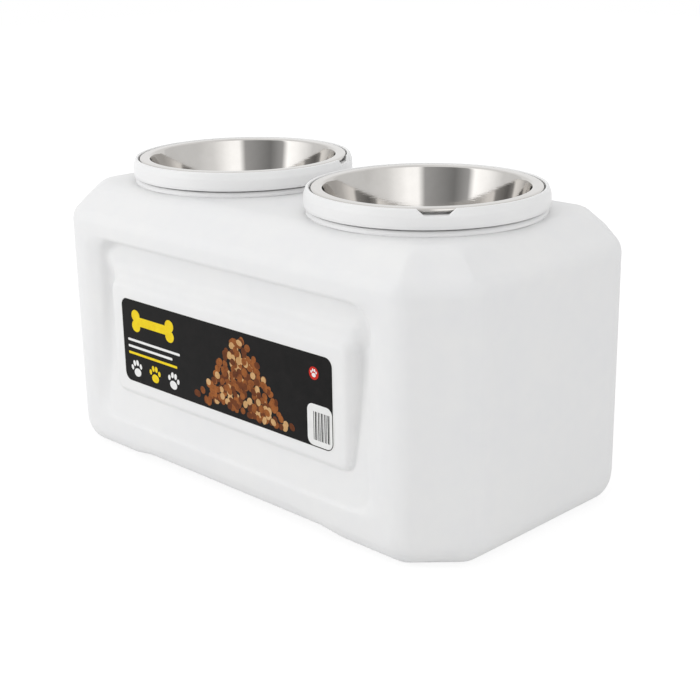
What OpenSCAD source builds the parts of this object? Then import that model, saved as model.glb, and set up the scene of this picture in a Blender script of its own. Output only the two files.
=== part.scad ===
// Elevated dog feeder on a blow-moulded food bin.
// Two screw-on lids close the bin, and a steel bowl hangs in the well of each lid.
// X runs along the long side, the label faces -Y, and Z = 0 is the floor.

/* [Bin] */
// Length of the bin
bin_length = 636; // [620:2:900]
// Width of the bin, front to back
bin_width = 344; // [336:2:480]
// Height of the bin's flat top above the floor
bin_height = 322; // [310:1:500]
// Thickness of the moulded wall
bin_wall = 4; // [2.5:0.1:6]
// Leg of the 45 degree flat on each upright corner
corner_leg = 54; // [36:1:80]
// Radius that softens the upright edges
corner_radius = 26; // [10:1:40]
// Height that the sloping shoulder drops below the flat top
shoulder_drop = 32; // [20:1:60]
// Width of the sloping shoulder, seen from above
shoulder_run = 36; // [20:1:44]
// Radius of the crease between wall and shoulder
crease_radius = 22; // [8:1:40]
// Radius between shoulder and flat top
top_radius = 30; // [8:1:40]
// Radius round the bottom edge
bottom_radius = 27; // [8:1:40]

/* [Feet] */
// Height of the arch between the two end feet
arch_height = 4; // [2:0.2:12]
// Length of the arch at its flat crown
arch_length = 322; // [200:2:500]
// Length of the ramp at each end of the arch
arch_ramp = 14; // [5:1:60]

/* [Recess and label panel] */
// Length of the recess in the front and in the back
recess_length = 478; // [470:1:500]
// Height of the recess
recess_height = 221.5; // [218:0.5:240]
// Height of the recess's lower edge above the floor
recess_lift = 46; // [40:1:50]
// Depth of the recess at its upper edge
recess_depth = 20; // [18:0.5:30]
// Depth of the recess at half its height
recess_middle_depth = 14.5; // [10:0.5:18]
// Depth of the recess at its lower edge
recess_low_depth = 2.5; // [1:0.5:8]
// Slope of the recess's end walls, as a length along the bin
recess_side_slope = 38; // [20:1:40]
// Slope of the recess's upper and lower walls, as a height
recess_edge_slope = 5; // [1:1:12]
// Radius of the recess's corners at the mouth
recess_radius = 28; // [20:1:40]
// Length of the raised panel's face
panel_length = 388; // [376:1:390]
// Height of the raised panel's face
panel_height = 132; // [124:1:150]
// Height of the panel face's lower edge above the floor
panel_lift = 86.5; // [80:0.5:100]
// How far the panel's face sits behind the bin's face
panel_setback = 1; // [0:0.5:6]
// Slope of the panel's upper edge, as a height
panel_top_slope = 12; // [2:1:20]
// Slope of the panel's other edges
panel_side_slope = 4; // [1:1:10]
// Radius of the panel's corners at its face
panel_radius = 9; // [3:1:20]
// How far the crown above the panel sits behind the bin's face
crown_setback = 8; // [5:0.5:10]
// Height of the crown's ridge above the floor
crown_ridge = 237; // [230:1:242]
// Height of the crown's upper edge above the floor
crown_top = 257; // [248:1:260]
// Radius of the crown's upper corners
crown_radius = 16; // [6:1:22]
// Length of the label
label_length = 352; // [200:1:364]
// Height of the label
label_height = 103; // [60:1:112]
// Thickness of the label
label_thickness = 0.3; // [0.1:0.05:1]
// Radius of the label's corners
label_radius = 11; // [2:1:20]

/* [Collars] */
// Distance between the centres of the two openings
opening_spacing = 295; // [270:1:300]
// Wall of the collar's tube
collar_wall = 3.3; // [2:0.1:5]
// Width of the collar's flange, from its bore to its rim
collar_flange_width = 9.3; // [8.6:0.1:12]
// Height of the collar's flange
collar_flange_height = 5.6; // [4:0.1:10]
// Depth of the collar's tube below the bin's top
collar_depth = 22; // [16:1:40]
// How far the snap bead stands out under the bin's top
snap_bead = 2; // [1:0.1:3]
// Height of the snap bead
snap_height = 3.4; // [2:0.1:6]
// Width of the seal under the flange
collar_seal_width = 2.6; // [1.5:0.1:4]
// Height of the seal under the flange
collar_seal_height = 1.9; // [1:0.1:4]

/* [Lids] */
// Thickness of the lid's ring outside the bowl's channel
ring_width = 6.2; // [5:0.1:10]
// Height of the lid's ring
lid_height = 20.7; // [18:0.1:40]
// Gap that shows between collar and lid
lid_gap = 1.7; // [0.8:0.1:4]
// Thickness of the lid's walls
lid_wall = 3; // [2:0.1:5]
// How far the ring's upper edge leans in
lid_lean = 3; // [1:0.1:5]
// Depth of the channel that holds the bowl's rolled edge
channel_depth = 6.7; // [5.8:0.1:12]
// Height of the thread band on the lid's well
thread_height = 18; // [8:1:24]
// Depth of the thread
thread_depth = 2.4; // [1:0.1:4]
// Width of the finger notch at its top
notch_top = 40; // [20:1:60]
// Width of the finger notch at its bottom
notch_bottom = 25; // [10:1:40]
// Angle of the right lid's notch
right_notch_angle = -44; // [-180:1:180]
// Angle of the left lid's notch
left_notch_angle = 28; // [-180:1:180]
// Width of the seal under the lid
lid_seal_width = 3.2; // [2:0.1:5]
// Height of the seal under the lid
lid_seal_height = 4.8; // [3:0.1:8]

/* [Bowls] */
// Diameter of the bowl's mouth
bowl_mouth = 222; // [170:1:226]
// Width of the bowl's rim, with its rolled edge
bowl_rim = 12.4; // [11:0.1:14]
// Depth of the bowl inside
bowl_depth = 70; // [40:1:90]
// Thickness of the bowl's steel
bowl_steel = 0.8; // [0.5:0.1:1.5]
// How much the bowl's radius shrinks from its mouth to its floor
bowl_taper = 15; // [2:0.5:20]
// Radius between the bowl's wall and floor
bowl_corner = 30; // [10:1:40]
// Diameter of the rolled edge's bead
bead_diameter = 4.2; // [2:0.1:6]

/* [Clearances] */
// Radial gap between the lid's thread band and the collar's bore
thread_gap = 0.5; // [0.2:0.1:1]
// Gap round a seated seal
seal_gap = 0.2; // [0.1:0.05:0.4]
// From the edge of the bin's opening to the seal under the collar
collar_seal_inset = 1.3; // [0.8:0.1:2]
// From the collar's bore to the seal under the lid
lid_seal_inset = 2.2; // [1.6:0.1:3]
// Gap between resting faces of separate moving pieces
rest_gap = 0.3; // [0.2:0.05:0.6]
// Radial gap between the collar's tube and the bin's opening
opening_gap = 0.4; // [0.2:0.1:1]
// Radial gap between the bowl's wall and the lid's well
well_gap = 1.5; // [0.8:0.1:3]
// Gap between the bowl's floor and the well's floor
floor_gap = 2.8; // [1:0.1:6]
// Radial gap between the bowl's rolled edge and the lid's ring
rim_gap = 1.4; // [0.8:0.1:3]

/* [Hidden] */
$fn = 64;
// Longer than anything it cuts
reach = 4 * bin_length;
skin = 0.01;
// How far joined shapes run into each other
overlap = 0.5;
// How far a cut runs past the surface that it opens
past = 1;
// The least radius of a corner on the inside of a wall
least_radius = 1;
half_length = bin_length / 2;
half_width = bin_width / 2;
// Distance from the centre to the flat on an upright corner
corner_reach = (half_length + half_width - corner_leg) / sqrt(2);

mouth_radius = bowl_mouth / 2;
bowl_radius = mouth_radius + bowl_rim;
channel_radius = bowl_radius + rim_gap;
lid_radius = channel_radius + ring_width;
well_radius = mouth_radius + bowl_steel + well_gap;
plug_radius = well_radius + lid_wall;
thread_radius = plug_radius + thread_depth;

collar_bore_radius = thread_radius + thread_gap;
collar_tube_radius = collar_bore_radius + collar_wall;
opening_radius = collar_tube_radius + opening_gap;
collar_top = bin_height + collar_flange_height;
snap_top = bin_height - bin_wall - rest_gap;
collar_seal_inner = opening_radius + collar_seal_inset;
collar_seal_outer = collar_seal_inner + collar_seal_width;

lid_bottom = collar_top + lid_gap;
lid_top = lid_bottom + lid_height;
channel_floor = lid_top - channel_depth;
// The thread stops just below the bin's top, and the well draws in just below the thread
thread_inset = 1;
thread_top = bin_height - thread_inset;
bend_drop = 2;
// The bowl's rim stands a hair below the lid's upper edge
bowl_sink = 0.3;
bowl_top = lid_top - bowl_sink;
rest_top = bowl_top - bowl_steel - rest_gap;
bowl_floor = bowl_top - bowl_depth;
well_floor = bowl_floor - bowl_steel - floor_gap;
well_bottom = well_floor - lid_wall;
well_bend = thread_top - thread_height - bend_drop;
base_radius = mouth_radius - bowl_taper;
// The bowl's rounded corner lets the well draw in a little more than the bowl does
well_draw = 1;
well_base_radius = base_radius + bowl_steel + well_gap - well_draw;
lid_seal_inner = collar_bore_radius + lid_seal_inset;
lid_seal_outer = lid_seal_inner + lid_seal_width;
lid_seal_bottom = collar_top + rest_gap;
lid_seal_top = lid_seal_bottom + lid_seal_height;
seal_rib = 1;
// The thread's ends and crest slope back by this much
thread_chamfer = 1;
// The ring draws in under its lower edge, and leans in above its grip
ring_tuck = 0.6;
ring_tuck_height = 4;
ring_lean_height = 8;
grip_radius = 3;
ring_top_radius = 1.8;
// Radius of the edges that nothing else rounds
edge_radius = 1.2;
seal_radius = 0.8;
// The bowl's rim starts inside its mouth, where the hollow cuts it off
rim_root = 6;
// The notch's cut starts where the ring curves away from it
notch_start = channel_radius - notch_top * notch_top / (8 * channel_radius) - past;

plastic = "white";
rubber = "dimgray";
steel = "silver";
print = "black";

function unit(v) = v / norm(v);
function neighbour(points, i, step) = points[(i + step + len(points)) % len(points)];
function toward(points, i, step) = unit(neighbour(points, i, step) - points[i]);
function half_angle(points, i) = acos(toward(points, i, -1) * toward(points, i, 1)) / 2;
function inward(points, i) = unit(toward(points, i, -1) + toward(points, i, 1));
// A convex outline drawn in by the same distance on every side
function drawn_in(points, distance) =
    [for (i = [0 : len(points) - 1]) points[i] + inward(points, i) * distance / sin(half_angle(points, i))];

// A convex outline with each corner rounded by its own radius
module rounded(points, radii) {
    count = len(points);
    polygon([for (i = [0 : count - 1]) for (step = [-1, 1])
        points[i] + toward(points, i, step) * radii[i] / tan(half_angle(points, i))]);
    for (i = [0 : count - 1])
        if (radii[i] > 0)
            translate(points[i] + inward(points, i) * radii[i] / sin(half_angle(points, i)))
                circle(radii[i]);
}

// The bin seen from above, drawn in by a wall
module bin_plan(wall) {
    x = half_length;
    y = half_width;
    c = corner_leg;
    outline = [[x, y - c], [x - c, y], [c - x, y], [-x, y - c],
        [-x, c - y], [c - x, -y], [x - c, -y], [x, c - y]];
    rounded(drawn_in(outline, wall), [for (i = [0 : 7]) max(corner_radius - wall, least_radius)]);
}

// The bin's section across two opposite walls, drawn in by a wall
module bin_section(half, wall) {
    crease = bin_height - shoulder_drop;
    outline = [[-half, 0], [half, 0], [half, crease], [half - shoulder_run, bin_height],
        [shoulder_run - half, bin_height], [-half, crease]];
    radii = [bottom_radius, bottom_radius, crease_radius, top_radius, top_radius, crease_radius];
    rounded(drawn_in(outline, wall), [for (r = radii) max(r - wall, least_radius)]);
}

module bin_slab(half, wall, angle) {
    rotate([0, 0, angle]) rotate([90, 0, 0])
        linear_extrude(height = reach, center = true) bin_section(half, wall);
}

// The bin's form: its plan, cut by the section across each pair of walls
module bin_form(wall) {
    intersection() {
        linear_extrude(height = bin_height + bin_wall) bin_plan(wall);
        bin_slab(half_length, wall, 0);
        bin_slab(half_width, wall, 90);
        bin_slab(corner_reach, wall, 45);
        bin_slab(corner_reach, wall, -45);
    }
}

// The arch that runs from front to back between the feet
module arch(lift) {
    rotate([90, 0, 0]) linear_extrude(height = reach, center = true)
        polygon([[-arch_length / 2 - arch_ramp, lift], [-arch_length / 2 - arch_ramp, -past],
            [arch_length / 2 + arch_ramp, -past], [arch_length / 2 + arch_ramp, lift],
            [arch_length / 2, arch_height + lift], [-arch_length / 2, arch_height + lift]]);
}

// A flat rounded rectangle that stands upright, facing -Y, with its lower edge at a height
module upright_plate(length, height, lift, radius, y, thickness) {
    translate([0, y, 0]) rotate([90, 0, 0]) translate([0, 0, -thickness]) linear_extrude(height = thickness)
        rounded([[-length / 2, lift], [length / 2, lift],
            [length / 2, lift + height], [-length / 2, lift + height]], [radius, radius, radius, radius]);
}

// A bar that runs along the bin, from an outline of depths behind the front face and heights
module along(outline) {
    translate([-half_length, -half_width, 0]) rotate([90, 0, 90])
        linear_extrude(height = bin_length) polygon(outline);
}

// The space in front of the recess's floor, which leans in towards the top, grown by a wall
module above_floor(grow) {
    before = -2 * bin_wall;
    low = recess_lift - grow;
    high = recess_lift + recess_height + grow;
    along([[before, low], [recess_low_depth + grow, low],
        [recess_middle_depth + grow, recess_lift + recess_height / 2],
        [recess_depth + grow, high], [before, high]]);
}

// The space between the recess's sloping end walls, grown by a wall
module between_ends(grow) {
    half = recess_length / 2 + grow / 2;
    foot = half - recess_side_slope;
    translate([0, -half_width, 0]) linear_extrude(height = bin_height)
        polygon([[-half - grow, -past], [half + grow, -past], [half, grow], [foot, recess_depth + grow],
            [-foot, recess_depth + grow], [-half, grow]]);
}

// The hollow of the recess on the front
module recess() {
    // The hollow's slopes run on this far in front of the bin's face
    mouth = 6;
    side_step = recess_side_slope * mouth / recess_depth;
    edge_step = recess_edge_slope * mouth / recess_depth;
    intersection() {
        hull() {
            upright_plate(recess_length + 2 * side_step, recess_height + 2 * edge_step,
                recess_lift - edge_step, recess_radius, -half_width - mouth, skin);
            upright_plate(recess_length - 2 * recess_side_slope, recess_height - 2 * recess_edge_slope,
                recess_lift + recess_edge_slope, recess_radius - recess_edge_slope,
                -half_width + recess_depth - skin, skin);
        }
        above_floor(0);
    }
}

// The raised panel in the middle of the recess, and the crown that slopes back above it
module panel() {
    foot = recess_depth + bin_wall / 2;
    wide = panel_length + 2 * panel_side_slope;
    high = panel_height + panel_side_slope + panel_top_slope;
    hull() {
        upright_plate(panel_length, panel_height, panel_lift, panel_radius,
            -half_width + panel_setback, skin);
        upright_plate(wide, high, panel_lift - panel_side_slope, panel_radius + panel_side_slope,
            -half_width + recess_depth, skin);
    }
    upright_plate(wide, high, panel_lift - panel_side_slope, panel_radius + panel_side_slope,
        -half_width + recess_depth, foot - recess_depth);
    intersection() {
        upright_plate(panel_length, crown_top - panel_lift, panel_lift, crown_radius, -half_width, foot);
        along([[crown_setback, panel_lift], [foot, panel_lift], [foot, crown_top],
            [recess_depth, crown_top], [crown_setback, crown_ridge]]);
    }
}

// What the recess takes out of the bin's inside: its hollow grown by the wall, less the panel's own hollow
module recess_block() {
    depth = recess_depth + 2 * bin_wall;
    grow = bin_wall;
    difference() {
        intersection() {
            upright_plate(recess_length + 2 * grow, recess_height + 2 * grow,
                recess_lift - grow, recess_radius + grow, -half_width - past, depth);
            above_floor(grow);
            between_ends(grow);
        }
        upright_plate(panel_length - 2 * grow, panel_height - 2 * grow, panel_lift + grow,
            panel_radius, -half_width + panel_setback + grow, depth);
        upright_plate(panel_length - 2 * grow, crown_ridge - 2 * grow - panel_lift, panel_lift + grow,
            panel_radius, -half_width + crown_setback + grow, depth);
    }
}

module both_sides() {
    children();
    rotate([0, 0, 180]) children();
}

module at_left() {
    translate([-opening_spacing / 2, 0, 0]) children();
}

module at_right() {
    translate([opening_spacing / 2, 0, 0]) children();
}

module bin_body() {
    color(plastic) difference() {
        union() {
            difference() {
                bin_form(0);
                arch(0);
                both_sides() recess();
            }
            both_sides() panel();
        }
        difference() {
            bin_form(bin_wall);
            arch(bin_wall);
            both_sides() recess_block();
        }
        for (side = [-1, 1])
            translate([side * opening_spacing / 2, 0, bin_height - 2 * bin_wall])
                cylinder(h = 4 * bin_wall, r = opening_radius);
    }
}

// The ring that snaps into the opening and carries the lid
module collar() {
    color(plastic) rotate_extrude() difference() {
        union() {
            translate([collar_bore_radius, bin_height - collar_depth])
                square([collar_wall, collar_depth + overlap]);
            translate([collar_bore_radius, 0])
                rounded([[0, bin_height], [collar_flange_width, bin_height],
                    [collar_flange_width, collar_top], [0, collar_top]],
                    [0, edge_radius / 2, edge_radius, edge_radius / 2]);
            polygon([[collar_tube_radius - overlap, snap_top - snap_height],
                [collar_tube_radius, snap_top - snap_height],
                [opening_radius + snap_bead, snap_top], [collar_tube_radius - overlap, snap_top]]);
        }
        translate([collar_seal_inner - seal_gap, bin_height - past])
            square([collar_seal_width + 2 * seal_gap, collar_seal_height + seal_gap + past]);
    }
}

module collar_seal() {
    color(rubber) rotate_extrude()
        translate([collar_seal_inner, bin_height]) square([collar_seal_width, collar_seal_height]);
}

module lid_section() {
    lean = lid_radius - lid_lean;
    union() {
        // Outer wall with its rolled-in upper edge
        rounded([[channel_radius, lid_bottom], [lid_radius - ring_tuck, lid_bottom],
            [lid_radius, lid_bottom + ring_tuck_height], [lid_radius, lid_top - ring_lean_height],
            [lean, lid_top], [channel_radius, lid_top]],
            [0, edge_radius, grip_radius, grip_radius, ring_top_radius, edge_radius]);
        // Floor of the channel
        translate([well_radius, channel_floor - lid_wall])
            square([channel_radius - well_radius + overlap, lid_wall]);
        // Block and ribs that hold the seal
        translate([lid_seal_inner - seal_gap - seal_rib, lid_seal_top + seal_gap])
            square([lid_seal_width + 2 * (seal_gap + seal_rib), channel_floor - lid_seal_top - seal_gap]);
        for (x = [lid_seal_inner - seal_gap - seal_rib, lid_seal_outer + seal_gap])
            translate([x, lid_bottom]) square([seal_rib, channel_floor - lid_wall / 2 - lid_bottom]);
        // Wall and floor of the closed well
        polygon([[0, well_bottom], [well_base_radius + lid_wall, well_bottom], [plug_radius, well_bend],
            [plug_radius, rest_top], [well_radius, rest_top], [well_radius, well_bend],
            [well_base_radius, well_floor], [0, well_floor]]);
        // Band that carries the thread
        translate([0, thread_top - thread_height])
            polygon([[plug_radius - overlap, 0], [thread_radius - thread_chamfer, 0],
                [thread_radius, thread_chamfer], [thread_radius, thread_height - thread_chamfer],
                [thread_radius - thread_chamfer, thread_height], [plug_radius - overlap, thread_height]]);
    }
}

// The finger notch, cut through the ring at the +Y side
module notch() {
    translate([0, notch_start, 0]) rotate([90, 0, 180])
        linear_extrude(height = lid_radius)
            polygon([[-notch_bottom / 2, channel_floor], [notch_bottom / 2, channel_floor],
                [notch_top / 2, lid_top], [notch_top / 2, lid_top + past],
                [-notch_top / 2, lid_top + past], [-notch_top / 2, lid_top]]);
}

module lid(notch_angle) {
    color(plastic) rotate([0, 0, notch_angle - 90]) difference() {
        rotate_extrude() difference() {
            lid_section();
            // The outer wall is hollow underneath
            translate([lid_seal_outer + seal_gap + seal_rib, lid_bottom - past])
                square([lid_radius - lid_wall - lid_seal_outer - seal_gap - seal_rib,
                    channel_floor - lid_wall - lid_bottom + past]);
        }
        notch();
    }
}

module lid_seal() {
    color(rubber) rotate_extrude()
        translate([lid_seal_inner, lid_seal_bottom])
            rounded([[0, 0], [lid_seal_width, 0], [lid_seal_width, lid_seal_height], [0, lid_seal_height]],
                [seal_radius, seal_radius, 0, 0]);
}

// Half of the bowl's form, from its axis out, grown by the steel's thickness
module bowl_half(grow) {
    // The form runs on this far above the rim, so that its upper edge lies clear of the steel
    above = 5;
    wide = mouth_radius + above * bowl_taper / bowl_depth;
    points = drawn_in([[-wide, bowl_top + above], [-base_radius, bowl_floor],
        [base_radius, bowl_floor], [wide, bowl_top + above]], -grow);
    intersection() {
        rounded(points, [0, bowl_corner + grow, bowl_corner + grow, 0]);
        translate([0, bowl_floor - grow]) square([bowl_radius, bowl_depth + grow + (grow > 0 ? 0 : past)]);
    }
}

module bowl() {
    bead = bead_diameter / 2;
    color(steel) rotate_extrude() difference() {
        union() {
            bowl_half(bowl_steel);
            translate([mouth_radius - rim_root, bowl_top - bowl_steel])
                square([bowl_radius - bead - mouth_radius + rim_root, bowl_steel]);
            translate([bowl_radius - bead, bowl_top - bead]) circle(bead);
        }
        bowl_half(0);
    }
}

module front_label() {
    y = -half_width + panel_setback - label_thickness;
    color(print) upright_plate(label_length, label_height, panel_lift + (panel_height - label_height) / 2,
        label_radius, y, label_thickness);
}

bin_body();
at_left() collar();  // left_collar
at_right() collar();  // right_collar
at_left() collar_seal();  // left_collar_seal
at_right() collar_seal();  // right_collar_seal
at_left() lid(left_notch_angle);  // left_lid
at_right() lid(right_notch_angle);  // right_lid
at_left() lid_seal();  // left_lid_seal
at_right() lid_seal();  // right_lid_seal
at_left() bowl();  // left_bowl
at_right() bowl();  // right_bowl
front_label();
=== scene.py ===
# %% [markdown]
# # A raised dog feeder on a food bin
# The object is a white food bin that a plastics factory blows from one tube of molten plastic, with two
# screw-on lids. A steel bowl hangs in the well of each lid. The engineering model of it comes in model.glb, so
# this lesson loads that model as a fixed frame, and then builds each piece's real surface on top of it.

# %% Load the imported model
import math
import bmesh
import bpy
import numpy as np
from mathutils import Matrix, Vector


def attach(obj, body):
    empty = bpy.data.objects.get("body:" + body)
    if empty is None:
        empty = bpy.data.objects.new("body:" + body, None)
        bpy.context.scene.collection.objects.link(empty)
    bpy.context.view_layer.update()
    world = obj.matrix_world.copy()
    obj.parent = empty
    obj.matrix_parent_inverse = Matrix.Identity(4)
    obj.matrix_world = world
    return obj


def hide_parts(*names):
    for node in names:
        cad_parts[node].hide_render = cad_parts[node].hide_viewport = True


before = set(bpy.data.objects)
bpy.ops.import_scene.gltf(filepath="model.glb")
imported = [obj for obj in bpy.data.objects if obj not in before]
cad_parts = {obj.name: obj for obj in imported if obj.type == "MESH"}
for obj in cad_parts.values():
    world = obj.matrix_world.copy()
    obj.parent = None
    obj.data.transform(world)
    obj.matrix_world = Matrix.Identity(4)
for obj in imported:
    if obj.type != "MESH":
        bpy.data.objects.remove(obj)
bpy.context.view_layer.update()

scene = bpy.context.scene

# %% [markdown]
# ## Sizes
# The drawing of the part is in millimetres, and Blender works in metres. Each size is written as it stands in
# the drawing and turned into metres once, when a mesh is made. More than one piece shares these sizes.

# %% Shared sizes, in millimetres
MM = 0.001
HALF_LENGTH, HALF_WIDTH, BIN_TOP = 318.0, 172.0, 322.0
OPENING_X = {"left": -147.5, "right": 147.5}
NOTCH_ANGLE = {"left": 28.0, "right": -44.0}
LID_TOP = 350.0
BOWL_TOP = LID_TOP - 0.3
print("from floor to bowl rim:", BOWL_TOP, "mm")

# %% [markdown]
# ## The camera
# A photograph fixes where its camera stood: the long and the short edges of the bin run towards two vanishing
# points, and the round rims show as ellipses. The numbers here come from solving for both. The view looks down
# at about 18 degrees onto the corner between the front and the right end, with a fairly long lens.

# %% Camera
FRAME_PIXELS, SENSOR = 700, 36
FOCAL_PIXELS = 1386.3
CAMERA_PLACE = Vector((1113.0, -1081.8, 630.8)) * MM


def put(name, data, at=(0, 0, 0)):
    """Puts an object that shows data into the scene."""
    thing = bpy.data.objects.new(name, data)
    scene.collection.objects.link(thing)
    thing.location = at
    return thing


yaw, pitch, roll = (math.radians(a) for a in (-45.064, 17.76, -0.92))
forward = Vector((math.sin(yaw) * math.cos(pitch), math.cos(yaw) * math.cos(pitch), -math.sin(pitch)))
level = Vector((math.cos(yaw), -math.sin(yaw), 0))
above = level.cross(forward)
right = level * math.cos(roll) + above * math.sin(roll)
up = above * math.cos(roll) - level * math.sin(roll)
lens = bpy.data.cameras.new("photo_camera")
lens.sensor_fit = "HORIZONTAL"
lens.sensor_width = SENSOR
lens.lens = SENSOR * FOCAL_PIXELS / FRAME_PIXELS
lens.clip_end = 50
camera = put("photo_camera", lens)
camera.matrix_world = Matrix.Translation(CAMERA_PLACE) @ Matrix((right, up, -forward)).transposed().to_4x4()
scene.camera = camera
print("lens:", round(lens.lens, 1), "mm")

# %% [markdown]
# ## Shader nodes in short
# Every look in this lesson is a small network of shader nodes, and three helpers keep the networks short. They
# add a node and say what each of its inputs gets, which is a plain value or the output of another node.

# %% Helpers for shader nodes
COLOR_A, COLOR_B, COLOR_OUT = 6, 7, 2  # where a Mix node keeps its colour sockets


def feed(tree, socket, value):
    """Gives an input a plain value, or links the output of another node to it."""
    if isinstance(value, bpy.types.NodeSocket):
        tree.links.new(value, socket)
    else:
        socket.default_value = value


def add(tree, kind, feeds=None, **settings):
    """Adds a node. feeds says what each of its inputs gets."""
    node = tree.nodes.new("ShaderNode" + kind)
    for key, value in settings.items():
        setattr(node, key, value)
    for label, value in (feeds or {}).items():
        feed(tree, node.inputs[label], value)
    return node


def calculate(tree, operation, *values):
    """The result of a Math node."""
    return add(tree, "Math", dict(enumerate(values)), operation=operation).outputs[0]


print("helpers ready: feed, add, calculate")

# %% [markdown]
# ## The sky
# A pale sky lights the object softly, most of all from above. The camera doesn't see it: a ray straight from
# the camera, or one by way of a mirror or through glass, meets the plain white of the photograph's background.

# %% Sky
SHOWN_TO = ("Is Camera Ray", "Is Glossy Ray", "Is Transmission Ray")
HORIZON, ZENITH, SKY_STRENGTH = (0.375, 0.375, 0.38, 1), (1, 1, 1, 1), 1.08


def is_shown(tree):
    """One for a ray that the background is shown to, else zero."""
    rays = [add(tree, "LightPath").outputs[kind] for kind in SHOWN_TO]
    return calculate(tree, "MAXIMUM", calculate(tree, "MAXIMUM", *rays[:2]), rays[2])


scene.view_settings.view_transform = "Standard"
scene.world = bpy.data.worlds.new("studio")
scene.world.use_nodes = True
tree = scene.world.node_tree
tree.nodes.clear()
direction = add(tree, "SeparateXYZ", {0: add(tree, "TexCoord").outputs["Generated"]})
shade = add(tree, "ValToRGB", {0: direction.outputs["Z"]})
shade.color_ramp.elements[0].color = HORIZON
shade.color_ramp.elements[1].color = ZENITH
sky = add(tree, "Background", {"Color": shade.outputs[0], "Strength": SKY_STRENGTH})
white = add(tree, "Background", {"Color": (1, 1, 1, 1)})
pick = add(tree, "MixShader", {0: is_shown(tree), 1: sky.outputs[0], 2: white.outputs[0]})
add(tree, "OutputWorld", {0: pick.outputs[0]})
print("the sky has", len(tree.nodes), "nodes")

# %% [markdown]
# ## Lamps
# The main light stands to the left of the camera and a weaker one fills from the right. Both are hidden from
# mirrors, because the steel gets its own picture of the room in the next step.

# %% Lamps
LIT_POINT = Vector((0, 0, 0.2))
LAMPS = {"key": ((-2.1, -2.7, 1.3), (1.2, 1.1), 33), "fill": ((2.8, -0.9, 1.2), (1.6, 1.6), 10)}
for name, (at, size, power) in LAMPS.items():
    light = bpy.data.lights.new(name, "AREA")
    light.shape = "RECTANGLE"
    light.size, light.size_y = size
    light.energy = power
    lamp = put(name, light, at)
    lamp.rotation_euler = (LIT_POINT - Vector(at)).to_track_quat("-Z", "Y").to_euler()
    lamp.visible_glossy = False
    print(name, "stands", round((Vector(at) - LIT_POINT).length, 1), "m away")

# %% [markdown]
# ## What the steel mirrors
# Polished steel shows the room more than itself. In the photograph, two soft lights stand left and right of
# the photographer, each with a crisp edge towards the camera and a long fade away from it, and the room
# behind the camera is dark. A tall curved screen that only mirrors can see carries that pattern.

# %% Screen round the studio
SCREEN_RADIUS, SCREEN_HEIGHT, SCREEN_PEAK, FULL_TURN = 5.0, 4.5, 1.7, 360
SCREEN_FROM, SCREEN_TO, SCREEN_EDGES = -180, 80, 66
# Each direction in degrees, and how bright the screen is there
SCREEN_LEVELS = {-180: 0.85, -145: 0.9, -120: 1.5, -105: 1.7,  # the left light grows
                 -97: 0.5, -80: 0.25, -45: 0.5,  # the dark room behind the camera
                 -37: 1.6, -25: 1.6, 0: 1.05, 25: 0.85}  # the right light fades


def rescale(tree, value, feeds, **settings):
    """The result of a Map Range node."""
    return add(tree, "MapRange", {"Value": value, **feeds}, **settings).outputs["Result"]


def plain_mesh(name, points, faces, paint):
    mesh = bpy.data.meshes.new(name)
    mesh.from_pydata(points, [], faces)
    mesh.materials.append(paint)
    return mesh


def new_material(name):
    """A material, its tree, its Principled node and the object's own coordinates."""
    material = bpy.data.materials.new(name)
    material.use_nodes = True
    tree = material.node_tree
    return material, tree, tree.nodes["Principled BSDF"], add(tree, "TexCoord").outputs["Object"]


glow, tree, skin, place = new_material("studio_screen")
around = add(tree, "SeparateXYZ", {0: place})
angle = calculate(tree, "ARCTAN2", around.outputs["Y"], around.outputs["X"])
levels = add(tree, "ValToRGB", {0: rescale(tree, angle, {"From Min": -math.pi, "From Max": math.pi})})
ramp = levels.color_ramp.elements
while len(ramp) < len(SCREEN_LEVELS):
    ramp.new(0.5)
for element, azimuth in zip(ramp, SCREEN_LEVELS):
    element.position = azimuth / FULL_TURN + 0.5
for element, brightness in zip(ramp, SCREEN_LEVELS.values()):
    element.color = (brightness / SCREEN_PEAK,) * 3 + (1,)
shine = add(tree, "Emission", {"Strength": SCREEN_PEAK, "Color": levels.outputs[0]})
feed(tree, tree.nodes["Material Output"].inputs[0], shine.outputs[0])
tree.nodes.remove(skin)
turns = [math.radians(a) for a in np.linspace(SCREEN_FROM, SCREEN_TO, SCREEN_EDGES)]
corners = [(SCREEN_RADIUS * math.cos(turn), SCREEN_RADIUS * math.sin(turn), z)
           for turn in turns for z in (0, SCREEN_HEIGHT)]
panes = [(i, i + 1, i + 3, i + 2) for i in range(0, len(corners) - 2, 2)]
screen = put("screen", plain_mesh("screen", corners, panes, glow))
screen.visible_camera = screen.visible_diffuse = False
screen.visible_transmission = screen.visible_shadow = False
print("the screen has", len(panes), "panes")

# %% [markdown]
# ## Floor
# The floor has two tasks. Near the object it catches the soft shadow, and further out it fades into the white
# of the background, so that no horizon shows.

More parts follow.
